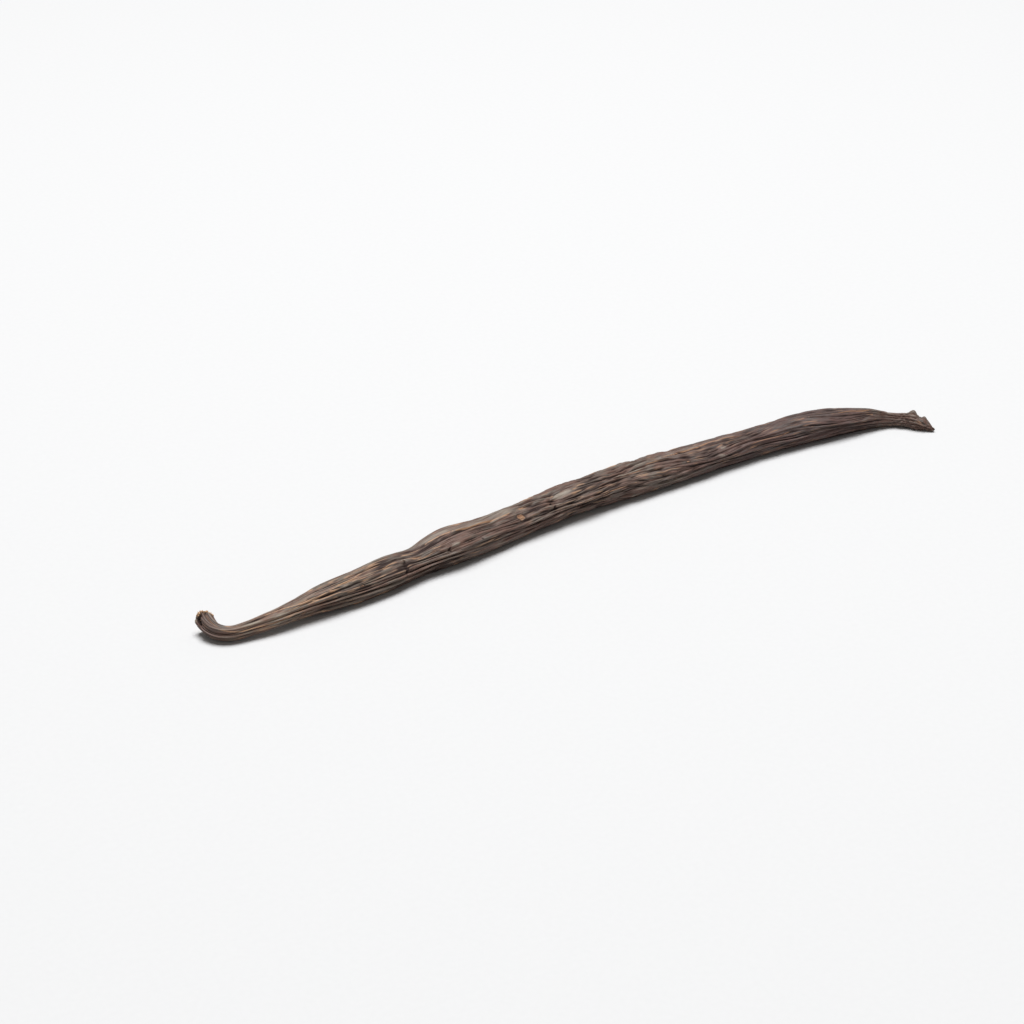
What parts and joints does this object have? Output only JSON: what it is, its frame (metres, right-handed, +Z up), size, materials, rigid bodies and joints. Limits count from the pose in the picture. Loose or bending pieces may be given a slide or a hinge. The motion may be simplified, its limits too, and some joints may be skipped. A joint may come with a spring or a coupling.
{
  "type": "vanilla pod",
  "caption": "Long, slim, dark brown cured vanilla pod, pleated along its length, with a curled and torn stem end and a small dried beak at the tip.",
  "frame": {"origin": "middle of the pod's footprint, on the surface it lies on", "axes": "+X from the stem end to the tip, +Y to the outer side of the bow, +Z up"},
  "size_m": [0.166, 0.0222, 0.0059],
  "materials": {
    "pod_skin": "oily satin"
  },
  "bodies": {
    "root": {"pod": "pod_skin"}
  },
  "joints": []
}
